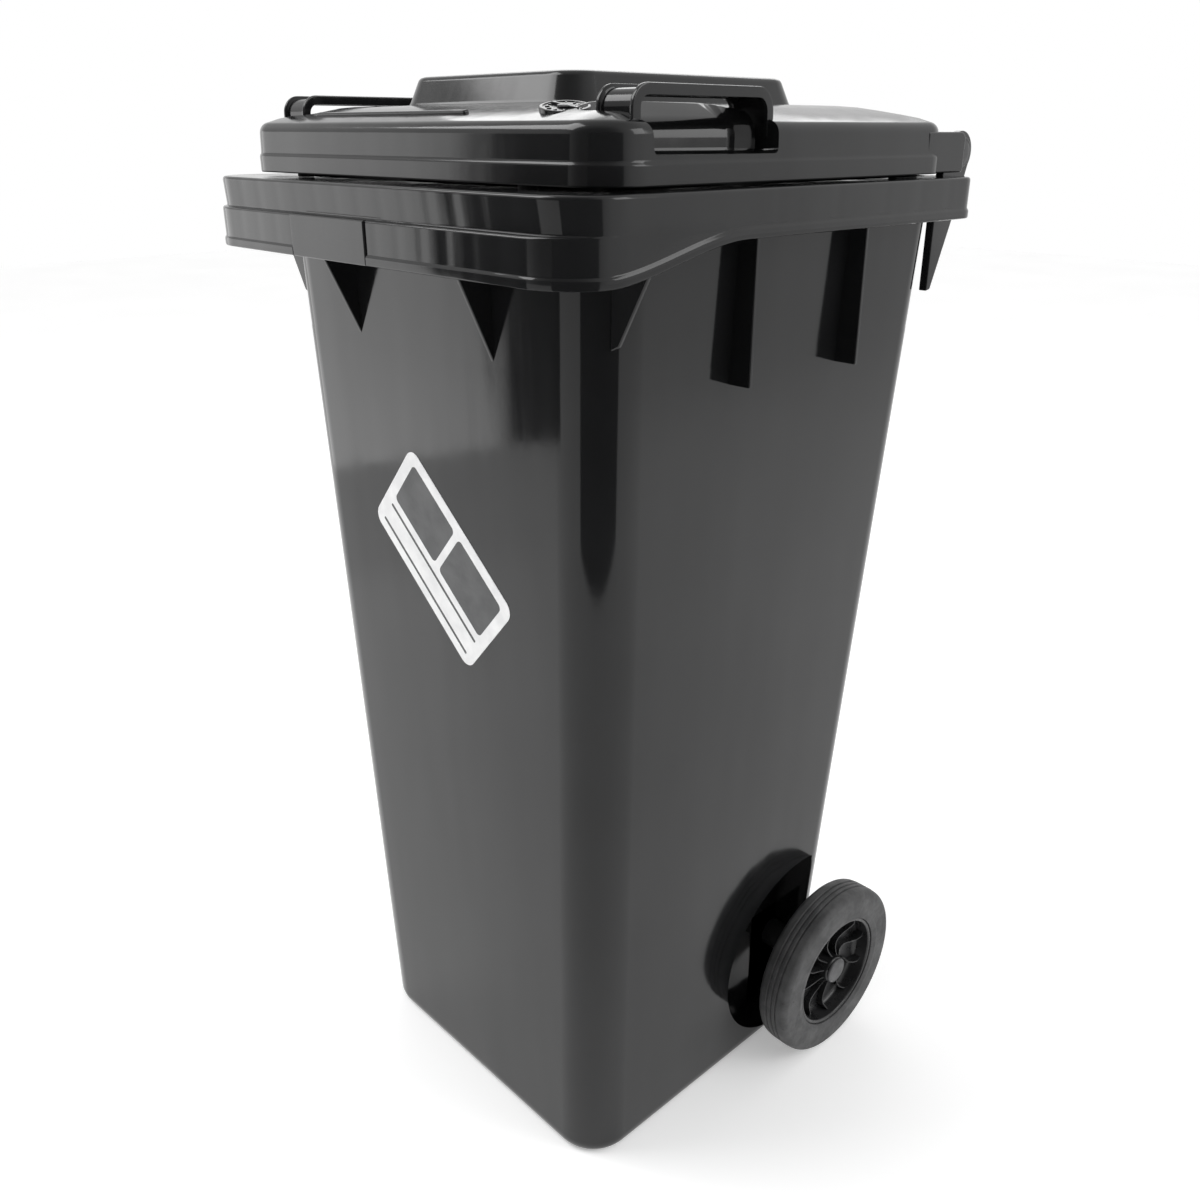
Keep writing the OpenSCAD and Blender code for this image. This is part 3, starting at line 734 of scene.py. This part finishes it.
def strap_path():
    """Outer line of a handle strap in side view, from its front foot to its rear foot."""
    top = LID_TOP_Z + 25
    front_y, rear_y = -171, -58
    front = [(-186, LID_TOP_Z + 1)] + arc(front_y, top - 15, 15, 180, 90, 10)
    rear = arc(rear_y, top - 17, 17, 90, 8, 10) + [(-40.4, LID_TOP_Z - 2), (-40, LID_TOP_Z - 8)]
    run = [(front_y + (rear_y - front_y) * i / 8, top) for i in range(1, 8)]
    return front + run + rear


def handle(side):
    """Channel-section strap: raised flanges along both edges, hollow underneath."""
    half = STRAP_W / 2
    section = [(-half, -7.2), (-half, -1.0), (-half + 0.3, -0.3), (-half + 1, 0), (-half + 2.8, 0),
               (-half + 3.6, -0.5), (-half + 4.4, -2.8), (half - 4.4, -2.8), (half - 3.6, -0.5),
               (half - 2.8, 0), (half - 1, 0), (half - 0.3, -0.3), (half, -1.0), (half, -7.2),
               (half - 0.6, -7.6), (half - 3, -7.6), (half - 3.8, -6.2), (-half + 3.8, -6.2),
               (-half + 3, -7.6), (-half + 0.6, -7.6)]
    path = strap_path()
    rings = []
    for i, (y, z) in enumerate(path):
        before, after = path[max(0, i - 1)], path[min(len(path) - 1, i + 1)]
        dy, dz = after[0] - before[0], after[1] - before[1]
        length = math.hypot(dy, dz)
        out_y, out_z = -dz / length, dy / length
        rings.append([(side * STRAP_X + u, y + v * out_y, z + v * out_z) for u, v in section])
    return smooth(loft("strap", rings), 40)


def lid_arm_outline():
    """Side view of a lid arm: the skirt's rear carried out to a knuckle on the hinge axis."""
    return ([(LID_REAR - 8, HINGE.z - 11), (HINGE.y - 12, HINGE.z - 13)]
            + arc(HINGE.y, HINGE.z, KNUCKLE_R, -130, 124, 40)
            + [(HINGE.y - 16, HINGE.z + 13.5), (LID_REAR - 8, HINGE.z + 13.5)])


def lid_arms():
    arms = [prism("arm", lid_arm_outline(), "x", *sorted((side * KNUCKLE[0], side * KNUCKLE[1])))
            for side in (-1, 1)]
    return smooth(bevel(join("lid_arms", arms), 1.4, 3))


def lid_lugs():
    """Skirt carried on past the rear edge at each side, stepped down at its top."""
    x = LID_X - BEAD - 5
    outline = [(LID_REAR - 40, SKIRT_Z + 0.4), (216, SKIRT_Z + 0.4), (216, LID_TOP_Z - 13)]
    outline += arc(209, LID_TOP_Z - 12, 7, 0, 90, 8)[1:]
    outline += [(LID_REAR - 40, LID_TOP_Z - 5)]
    lugs = [prism("lug", outline, "x", *sorted((side * (x - 5), side * (x + 5)))) for side in (-1, 1)]
    return smooth(bevel(join("lid_lugs", lugs), 1.6, 3))


def lid_bar():
    """Plain raised bar on the front slope of the lid."""
    bar = bevel(block("lid_bar", (0, 210), (0, 5), (0, 3.4)), 1.2, 3)
    tilt = Matrix.Rotation(math.radians(12), 4, "X")
    return smooth(place(bar, Matrix.Translation((-150, -196, LID_TOP_Z + 6.4)) @ tilt))


def date_dial():
    """Plain date dial: a rimmed disc with a pointer bar and twelve ticks."""
    profile = [(CORE_R, 0), (18, 0), (18, 3.2), (17.6, 3.8), (16.8, 4), (15.9, 3.9), (15.4, 3.3),
               (CORE_R, 3.3)]
    pieces = [disc("date_dial", profile, 72)]
    pieces.append(bevel(block("pointer", (-13.5, 13.5), (-1.4, 1.4), (3, 4.9)), 0.6, 2))
    pieces.append(disc("boss", [(5.5, 3), (5.5, 4.2), (4.8, 4.7), (3, 4.9), (CORE_R, 4.9)], 40))
    for i in range(12):
        tick = block("tick", (10.6, 13.8), (-0.45, 0.45), (3, 3.9))
        pieces.append(place(tick, Matrix.Rotation(math.radians(30 * i + 15), 4, "Z")))
    dial = join("date_dial_face", pieces)
    tilt = Matrix.Rotation(math.radians(9), 4, "Y") @ Matrix.Rotation(math.radians(9), 4, "X")
    return smooth(place(dial, Matrix.Translation((156, -182, LID_TOP_Z + 8)) @ tilt))


# ---------------------------------------------------------------- wheels and hinge pins
def tyre(side):
    """Solid tyre with rounded shoulders, three tread grooves and a raised bead on each side."""
    inner, outer, width = HUB_R + 0.05, TYRE_R, TYRE_W
    profile = [(inner, -width + 1.6), (inner + 2, -width + 0.9), (inner + 6, -width + 0.6),
               (outer - 15, -width + 0.1), (outer - 10, -width + 0.6)]
    profile += [(outer - 8 + r, -width + 8 + h) for r, h in arc(0, 0, 7.4, -84, -6, 7)]
    for centre in (14, 20, 26):
        h = -width + centre
        profile += [(outer, h - 1.6), (outer - 0.5, h - 1.1), (outer - 1.9, h - 0.7),
                    (outer - 1.9, h + 0.7), (outer - 0.5, h + 1.1), (outer, h + 1.6)]
    profile += [(outer - 8 + r, -8 + h) for r, h in arc(0, 0, 7.4, 6, 84, 7)]
    profile += [(outer - 10, -0.6), (outer - 15, -0.1), (inner + 9, -0.5), (inner + 7.6, -0.1),
                (inner + 5.4, -0.1), (inner + 4, -0.7), (inner + 1.6, -1.2), (inner, -2)]
    ring = lathe(f"tyre_{NAME[side]}_rubber", profile, 144)
    return smooth(place(ring, along_x(side, WHEEL_X, AXLE.y, AXLE.z)))


def spoke(index):
    """Thin rib with a slight S-bend, from the boss to the hub's rim."""
    start, end, half = 14, HUB_R - 5, 1.2
    rings = []
    for i in range(11):
        t = i / 10
        radius = start + (end - start) * t
        angle = 2 * math.pi * (index / SPOKES) + 0.16 * math.sin(2 * math.pi * t) * (1 - 0.3 * t)
        c, s = math.cos(angle), math.sin(angle)
        crest = -9.5 - 7.5 * math.sin(math.pi * min(1, t * 1.15)) ** 0.7
        section = [(-half, -25.6), (half, -25.6), (half * 0.75, crest - 0.5), (half * 0.4, crest),
                   (-half * 0.4, crest), (-half * 0.75, crest - 0.5)]
        rings.append([(radius * c - u * s, radius * s + u * c, h) for u, h in section])
    return loft("spoke", rings)


def hub(side):
    """Dished hub: rim with a rounded lip, web, boss and curved spokes."""
    r, w = HUB_R, TYRE_W
    profile = [(r - 5, -w + 4), (r - 1, -w + 3), (r, -w + 5), (r, -4.6), (r - 0.6, -3.4), (r - 1.6, -3),
               (r - 3, -3), (r - 4, -3.6), (r - 4.6, -5), (r - 6, -17), (r - 8, -20), (r - 12, -21.4),
               (26, -25), (19, -25.4), (17, -24.4), (16, -22), (15.6, -9), (14.8, -7.4), (13.4, -6.4),
               (12.6, -6.6), (12.6, -7.6), (10.2, -8), (10.2, -43.9), (17.4, -43.9), (18, -43.2), (18, -31)]
    pieces = [lathe("hub", profile, 120)] + [spoke(i) for i in range(SPOKES)]
    wheel = join(f"hub_{NAME[side]}_spoked", pieces)
    return smooth(place(wheel, along_x(side, WHEEL_X, AXLE.y, AXLE.z)))


def hub_cap(side):
    """Snap-in cap with a domed face and a fine rim line."""
    profile = [(CORE_R, -7.2), (12.1, -7.2), (12.1, -6.1), (14.9, -5.9), (14.9, -4.6), (14.3, -3.7),
               (13.2, -3.2), (12.2, -3.2), (11.9, -3.4), (11.6, -3.1), (8, -2.7), (4, -2.55),
               (CORE_R, -2.5)]
    return smooth(place(disc(f"hub_cap_{NAME[side]}_dome", profile, 72),
                        along_x(side, WHEEL_X, AXLE.y, AXLE.z)))


def hinge_pin(side):
    """Hinge pin with a domed, ringed head."""
    start = EAR_INNER[0] - 12
    head = EAR_OUTER[1] + 0.35 - start
    profile = [(CORE_R, 0), (5, 0), (6, 1), (6, head), (13, head), (13, head + 1.2),
               (12.2, head + 2), (11, head + 2.2), (10.4, head + 1.9),
               (9.8, head + 2.4), (6, head + 3.2), (CORE_R, head + 3.4)]
    return smooth(place(disc(f"hinge_pin_{NAME[side]}_head", profile, 64),
                        along_x(side, start, HINGE.y, HINGE.z)))


# ---------------------------------------------------------------- label
def rounded(w, h, r):
    """Rounded rectangle round the origin."""
    return (arc(w / 2 - r, h / 2 - r, r, 0, 90, 8) + arc(-w / 2 + r, h / 2 - r, r, 90, 180, 8)
            + arc(-w / 2 + r, -h / 2 + r, r, 180, 270, 8) + arc(w / 2 - r, -h / 2 + r, r, 270, 360, 8))


def on_front_wall():
    """Turns a drawing in XY so that it lies on the leaning front wall."""
    lean = math.atan((TOP_FRONT - BASE_FRONT) / RIM_Z)
    y = -BASE_FRONT - (TOP_FRONT - BASE_FRONT) * LABEL_Z / RIM_Z
    return (Matrix.Translation((LABEL_X, y, LABEL_Z)) @ Matrix.Rotation(math.pi / 2 + lean, 4, "X")
            @ Matrix.Rotation(math.radians(LABEL_TILT), 4, "Z"))


def label_plate():
    """White sheet of the label."""
    sheet = bevel(prism("label_sheet", rounded(LABEL_W, LABEL_H, 12), "z", 0, 0.42), 0.12, 1)
    return smooth(place(sheet, on_front_wall()))


def label_fields():
    """Dark fields printed inside the label's white frame."""
    fields = []
    printed = (((74, 52), (-41, 16)), ((74, 52), (41, 16)), ((156, 3), (0, -20)), ((156, 3), (0, -42)))
    for (w, h), (x, y) in printed:
        field = prism("field", rounded(w, h, min(5, h / 2 - 0.1)), "z", 0.4, 0.5)
        fields.append(place(field, Matrix.Translation((x, y, 0))))
    return smooth(place(join("label_fields", fields), on_front_wall()))


# ---------------------------------------------------------------- the object
for make in (walls, rim, comb_ribs, gussets, hinge_ears, grip_bar, axle_ribs):
    dress(make(), "container", "container_plastic", "container")
dress(chip_cover(), "container", "cover_plastic", "chip_cover")
dress(label_plate(), "container", "label_film", "front_label")
dress(label_fields(), "container", "label_film", "front_label", material="label_print")

for make in (lid_shell, lid_arms, lid_lugs, lid_bar):
    dress(make(), "lid", "lid_plastic", "lid")
straps = join("lid_handles", [handle(-1), handle(1)])
dress(straps, "lid", "lid_plastic", "lid")
dress(date_dial(), "lid", "dial_plastic", "date_dial")

for side, letter in NAME.items():
    wheel = f"wheel_{letter}"
    dress(tyre(side), wheel, "tyre_rubber", f"tyre_{letter}")
    dress(hub(side), wheel, "hub_plastic", f"hub_{letter}")
    dress(hub_cap(side), wheel, "cap_plastic", f"hub_cap_{letter}")
    dress(hinge_pin(side), "container", "black_plastic", f"hinge_pin_{letter}")

# The CAD pieces that stay in view get the material of their slot.
slot_of = {part["node"]: part["material_slot"] for part in frame["record"]["subparts"]}
for node, obj in frame["nodes"].items():
    if not obj.hide_render:
        obj.data.materials.clear()
        obj.data.materials.append(MATERIALS[slot_of[node]])


# ---------------------------------------------------------------- stage
def floor():
    """Wide pale floor that glows a little, so that its edge melts into the backdrop."""
    material, tree, shader = nodes_of("studio_floor")
    tree.links.new(blend(tree, spread(tree, noise(tree, 2, 3), 0, 1), (0.9, 0.9, 0.9), (0.93, 0.93, 0.93)),
                   shader.inputs["Base Color"])
    shader.inputs["Roughness"].default_value = 0.9
    shader.inputs["Specular IOR Level"].default_value = 0.1
    shader.inputs["Emission Color"].default_value = (1, 1, 1, 1)
    shader.inputs["Emission Strength"].default_value = 0.3
    half = 9000
    corners = [(-half, -half, 0), (half, -half, 0), (half, half, 0), (-half, half, 0)]
    ground = add_mesh("studio_floor", corners, [(0, 1, 2, 3)])
    ground.data.materials.append(material)


def softbox(name, place_at, aim, size, power):
    """Rectangular soft light, size in metres, aimed at a point."""
    light = bpy.data.lights.new(name, "AREA")
    light.shape = "RECTANGLE"
    light.size, light.size_y = size
    light.energy = power
    obj = bpy.data.objects.new(name, light)
    obj.location = place_at
    obj.rotation_euler = (Vector(aim) - Vector(place_at)).to_track_quat("-Z", "Y").to_euler()
    obj.visible_camera = False
    bpy.context.collection.objects.link(obj)


def flag(name, centre, facing, size):
    """Upright black card, seen only in reflections, its centre and size in metres."""
    across = Vector((-facing[1], facing[0], 0)).normalized() * size[0] / 2
    corners = [Vector(centre) + across * u + Vector((0, 0, size[1] / 2)) * v
               for u, v in ((-1, -1), (1, -1), (1, 1), (-1, 1))]
    card = add_mesh(name, [corner / MM for corner in corners], [(0, 1, 2, 3)])
    card.data.materials.append(MATERIALS["label_print"])
    card.visible_camera = False
    card.visible_diffuse = False
    card.visible_shadow = False


def studio_world():
    """Pale surround, brighter to the front left and behind, darker towards the near corner."""
    world = bpy.data.worlds.new("studio")
    bpy.context.scene.world = world
    world.use_nodes = True
    tree = world.node_tree
    tree.nodes.clear()
    direction = tree.nodes.new("ShaderNodeTexCoord").outputs["Generated"]
    even = 0.75
    total = None
    # direction, then the cosines to it at which the lobe starts and is full, and its strength
    lobes = (((-0.97, -0.22, 0.12), 0.86, 0.96, 0.4), ((-0.62, 0.72, 0.2), 0.6, 0.98, 0.15),
             ((0.80, 0.60, 0.10), 0.3, 0.95, 0.4), ((0.45, -0.88, 0.0), 0.2, 0.85, -0.55))
    for towards, low, high, amount in lobes:
        dot = tree.nodes.new("ShaderNodeVectorMath")
        dot.operation = "DOT_PRODUCT"
        dot.inputs[1].default_value = Vector(towards).normalized()
        tree.links.new(direction, dot.inputs[0])
        lobe = spread(tree, dot.outputs["Value"], 0, amount, low, high)
        add = tree.nodes.new("ShaderNodeMath")
        add.operation = "ADD"
        tree.links.new(lobe, add.inputs[0])
        if total is None:
            add.inputs[1].default_value = even
        else:
            tree.links.new(total, add.inputs[1])
        total = add.outputs["Value"]
    surround = tree.nodes.new("ShaderNodeBackground")
    tree.links.new(total, surround.inputs["Strength"])
    backdrop = tree.nodes.new("ShaderNodeBackground")
    mix = tree.nodes.new("ShaderNodeMixShader")
    tree.links.new(tree.nodes.new("ShaderNodeLightPath").outputs["Is Camera Ray"], mix.inputs["Fac"])
    tree.links.new(surround.outputs["Background"], mix.inputs[1])
    tree.links.new(backdrop.outputs["Background"], mix.inputs[2])
    surround.inputs["Color"].default_value = (1, 1, 1, 1)
    backdrop.inputs["Color"].default_value = (1, 1, 1, 1)
    output = tree.nodes.new("ShaderNodeOutputWorld")
    tree.links.new(mix.outputs["Shader"], output.inputs["Surface"])


def camera():
    """Camera at the height of the lid, looking down at the right-hand front corner."""
    data = bpy.data.cameras.new("camera")
    data.sensor_width = 36
    data.lens = CAMERA_LENS
    data.shift_x, data.shift_y = CAMERA_SHIFT
    obj = bpy.data.objects.new("camera", data)
    obj.location = CAMERA_AT
    turn, pitch = math.radians(CAMERA_TURN), math.radians(CAMERA_PITCH)
    back = Vector((math.sin(turn) * math.cos(pitch), -math.cos(turn) * math.cos(pitch), math.sin(pitch)))
    obj.rotation_euler = (-back).to_track_quat("-Z", "Y").to_euler()
    bpy.context.collection.objects.link(obj)
    bpy.context.scene.camera = obj


floor()
studio_world()
softbox("key_left", (-1.6, -1.4, 3.0), (0, 0, 0.5), (1.8, 1.8), 50)
softbox("back_left", (-1.9, 2.2, 2.4), (0, 0, 0.9), (2.2, 0.8), 10)
softbox("fill_right", (2.4, 1.2, 2.0), (0, 0, 0.5), (1.4, 1.4), 20)
softbox("window_left", (-1.45, -0.80, 0.72), (-0.1, -0.2, 0.72), (0.95, 0.95), 3.4)
flag("flag_left", (-0.80, -1.2, 0.75), (-0.6, -0.8), (0.45, 0.8))
flag("flag_right", (1.0, -1.0, 0.7), (0.7, -0.7), (1.7, 1.3))
camera()
bpy.context.scene.view_settings.view_transform = "Standard"
